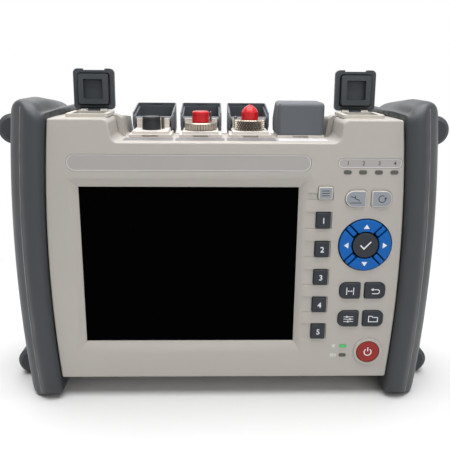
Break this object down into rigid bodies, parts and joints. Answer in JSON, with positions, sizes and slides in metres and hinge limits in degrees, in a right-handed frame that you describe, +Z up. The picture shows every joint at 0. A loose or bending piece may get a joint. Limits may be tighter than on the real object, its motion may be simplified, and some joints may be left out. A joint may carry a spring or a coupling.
{
  "type": "optical time domain reflectometer",
  "caption": "Handheld optical fibre tester with a wide screen, keypad, four lidded connector bays on top, two capped side ports, and full-height rubber bumpers",
  "frame": {"origin": "centre of the footprint, on the surface that the bumpers stand on", "axes": "+X to the right seen from the front, +Y to the back, +Z up; the screen faces -Y"},
  "size_m": [0.2512, 0.0772, 0.1824],
  "materials": {
    "casing": "light warm grey moulded plastic, fine texture",
    "bumper": "mid grey rubber, satin",
    "buffer": "dark grey rubber",
    "window": "clear cover over a black screen, gloss",
    "display": "display module, black",
    "plate_silver": "silver grey foil plate",
    "lights": "clear light pipe",
    "dark_key": "dark blue grey key",
    "blue_key": "blue key, satin",
    "pale_key": "pale blue grey key, satin",
    "red_key": "red key, satin",
    "keypad_rubber": "silicone mat",
    "board": "circuit board",
    "module_metal": "sheet metal case, brushed",
    "battery_wrap": "shrink wrap",
    "lid": "mid grey moulded plastic",
    "white_plastic": "white moulded plastic",
    "black_plastic": "black plastic",
    "red_cap": "red plastic, slight gloss",
    "nickel": "nickel plated brass",
    "steel": "plain steel"
  },
  "bodies": {
    "housing": {"battery_door": "casing", "battery_pack": "battery_wrap", "bumper_left": "bumper", "bumper_right": "bumper", "case_screws": "steel", "charge_led": "lights", "connectors": "nickel", "corner_buffers": "buffer", "display_module": "display", "display_window": "window", "door_screws": "steel", "front_casing": "casing", "keypad_board": "board", "keypad_mat": "keypad_rubber", "latch_posts": "steel", "lid_pins": "steel", "main_board": "board", "nameplate": "plate_silver", "on_led": "lights", "optical_module": "module_metal", "pad_dividers": "blue_key", "port_bases": "white_plastic", "port_frames": "white_plastic", "rear_casing": "casing", "side_cap_pins": "steel", "side_sockets": "black_plastic", "stand_pins": "steel", "status_lights": "lights", "status_plate": "plate_silver"},
    "menu_key": {"menu_key": "pale_key"},
    "soft_key_1": {"soft_key_1": "dark_key"},
    "soft_key_2": {"soft_key_2": "dark_key"},
    "soft_key_3": {"soft_key_3": "dark_key"},
    "soft_key_4": {"soft_key_4": "dark_key"},
    "soft_key_5": {"soft_key_5": "dark_key"},
    "average_key": {"average_key": "pale_key"},
    "auto_key": {"auto_key": "pale_key"},
    "arrow_key_up": {"arrow_key_up": "blue_key"},
    "arrow_key_down": {"arrow_key_down": "blue_key"},
    "arrow_key_left": {"arrow_key_left": "blue_key"},
    "arrow_key_right": {"arrow_key_right": "blue_key"},
    "ok_key": {"ok_key": "dark_key"},
    "marker_key": {"marker_key": "dark_key"},
    "escape_key": {"escape_key": "dark_key"},
    "setup_key": {"setup_key": "dark_key"},
    "file_key": {"file_key": "dark_key"},
    "power_key": {"power_key": "red_key"},
    "port_lid_1": {"port_lid_1": "lid"},
    "port_lid_2": {"port_lid_2": "lid"},
    "port_lid_3": {"port_lid_3": "lid"},
    "port_lid_4": {"port_lid_4": "lid"},
    "side_cap_left": {"side_cap_left": "lid"},
    "side_cap_right": {"side_cap_right": "lid"},
    "black_dust_cap": {"black_dust_cap": "black_plastic"},
    "flat_dust_cap": {"flat_dust_cap": "red_cap"},
    "domed_dust_cap": {"domed_dust_cap": "red_cap"},
    "ribbed_nut": {"ribbed_nut": "nickel"},
    "knurled_nut": {"knurled_nut": "nickel"},
    "rear_stand": {"rear_stand": "casing"}
  },
  "joints": [
    {"name": "menu_key_press", "type": "slide", "parent": "housing", "child": "menu_key", "axis": [0, 1, 0], "range_m": [0, 0.0008], "stiffness_N_per_m": 900},
    {"name": "soft_key_1_press", "type": "slide", "parent": "housing", "child": "soft_key_1", "axis": [0, 1, 0], "range_m": [0, 0.0008], "stiffness_N_per_m": 900},
    {"name": "soft_key_2_press", "type": "slide", "parent": "housing", "child": "soft_key_2", "axis": [0, 1, 0], "range_m": [0, 0.0008], "stiffness_N_per_m": 900},
    {"name": "soft_key_3_press", "type": "slide", "parent": "housing", "child": "soft_key_3", "axis": [0, 1, 0], "range_m": [0, 0.0008], "stiffness_N_per_m": 900},
    {"name": "soft_key_4_press", "type": "slide", "parent": "housing", "child": "soft_key_4", "axis": [0, 1, 0], "range_m": [0, 0.0008], "stiffness_N_per_m": 900},
    {"name": "soft_key_5_press", "type": "slide", "parent": "housing", "child": "soft_key_5", "axis": [0, 1, 0], "range_m": [0, 0.0008], "stiffness_N_per_m": 900},
    {"name": "average_key_press", "type": "slide", "parent": "housing", "child": "average_key", "axis": [0, 1, 0], "range_m": [0, 0.0008], "stiffness_N_per_m": 900},
    {"name": "auto_key_press", "type": "slide", "parent": "housing", "child": "auto_key", "axis": [0, 1, 0], "range_m": [0, 0.0008], "stiffness_N_per_m": 900},
    {"name": "arrow_key_up_press", "type": "slide", "parent": "housing", "child": "arrow_key_up", "axis": [0, 1, 0], "range_m": [0, 0.0008], "stiffness_N_per_m": 900},
    {"name": "arrow_key_down_press", "type": "slide", "parent": "housing", "child": "arrow_key_down", "axis": [0, 1, 0], "range_m": [0, 0.0008], "stiffness_N_per_m": 900},
    {"name": "arrow_key_left_press", "type": "slide", "parent": "housing", "child": "arrow_key_left", "axis": [0, 1, 0], "range_m": [0, 0.0008], "stiffness_N_per_m": 900},
    {"name": "arrow_key_right_press", "type": "slide", "parent": "housing", "child": "arrow_key_right", "axis": [0, 1, 0], "range_m": [0, 0.0008], "stiffness_N_per_m": 900},
    {"name": "ok_key_press", "type": "slide", "parent": "housing", "child": "ok_key", "axis": [0, 1, 0], "range_m": [0, 0.0008], "stiffness_N_per_m": 900},
    {"name": "marker_key_press", "type": "slide", "parent": "housing", "child": "marker_key", "axis": [0, 1, 0], "range_m": [0, 0.0008], "stiffness_N_per_m": 900},
    {"name": "escape_key_press", "type": "slide", "parent": "housing", "child": "escape_key", "axis": [0, 1, 0], "range_m": [0, 0.0008], "stiffness_N_per_m": 900},
    {"name": "setup_key_press", "type": "slide", "parent": "housing", "child": "setup_key", "axis": [0, 1, 0], "range_m": [0, 0.0008], "stiffness_N_per_m": 900},
    {"name": "file_key_press", "type": "slide", "parent": "housing", "child": "file_key", "axis": [0, 1, 0], "range_m": [0, 0.0008], "stiffness_N_per_m": 900},
    {"name": "power_key_press", "type": "slide", "parent": "housing", "child": "power_key", "axis": [0, 1, 0], "range_m": [0, 0.0008], "stiffness_N_per_m": 900},
    {"name": "port_lid_1_hinge", "type": "hinge", "parent": "housing", "child": "port_lid_1", "pos_m": [-0.04125, 0.01233, 0.1532], "axis": [-1, 0, 0], "range_deg": [-171.3, 0]},
    {"name": "port_lid_2_hinge", "type": "hinge", "parent": "housing", "child": "port_lid_2", "pos_m": [-0.01375, 0.01233, 0.1532], "axis": [-1, 0, 0], "range_deg": [-171.3, 0]},
    {"name": "port_lid_3_hinge", "type": "hinge", "parent": "housing", "child": "port_lid_3", "pos_m": [0.01375, 0.01233, 0.1532], "axis": [-1, 0, 0], "range_deg": [-171.3, 0]},
    {"name": "port_lid_4_hinge", "type": "hinge", "parent": "housing", "child": "port_lid_4", "pos_m": [0.04125, 0.01233, 0.1532], "axis": [-1, 0, 0], "range_deg": [0, 171.3]},
    {"name": "side_cap_left_hinge", "type": "hinge", "parent": "housing", "child": "side_cap_left", "pos_m": [-0.0729, -0.00097, 0.1595], "axis": [-1, 0, 0], "range_deg": [-93, 0]},
    {"name": "side_cap_right_hinge", "type": "hinge", "parent": "housing", "child": "side_cap_right", "pos_m": [0.0729, -0.00097, 0.1595], "axis": [-1, 0, 0], "range_deg": [-93, 0]},
    {"name": "black_dust_cap_pull", "type": "slide", "parent": "housing", "child": "black_dust_cap", "axis": [0, 0, 1], "range_m": [0, 0.009]},
    {"name": "flat_dust_cap_pull", "type": "slide", "parent": "housing", "child": "flat_dust_cap", "axis": [0, 0, 1], "range_m": [0, 0.007]},
    {"name": "domed_dust_cap_pull", "type": "slide", "parent": "housing", "child": "domed_dust_cap", "axis": [0, 0, 1], "range_m": [0, 0.007]},
    {"name": "ribbed_nut_turn", "type": "hinge", "parent": "housing", "child": "ribbed_nut", "pos_m": [-0.01375, -0.00207, 0.152], "axis": [0, 0, 1], "continuous": true},
    {"name": "knurled_nut_turn", "type": "hinge", "parent": "housing", "child": "knurled_nut", "pos_m": [0.01375, -0.00207, 0.152], "axis": [0, 0, 1], "continuous": true},
    {"name": "rear_stand_swing", "type": "hinge", "parent": "housing", "child": "rear_stand", "pos_m": [0, 0.03033, 0.118], "axis": [1, 0, 0], "range_deg": [0, 40]}
  ]
}
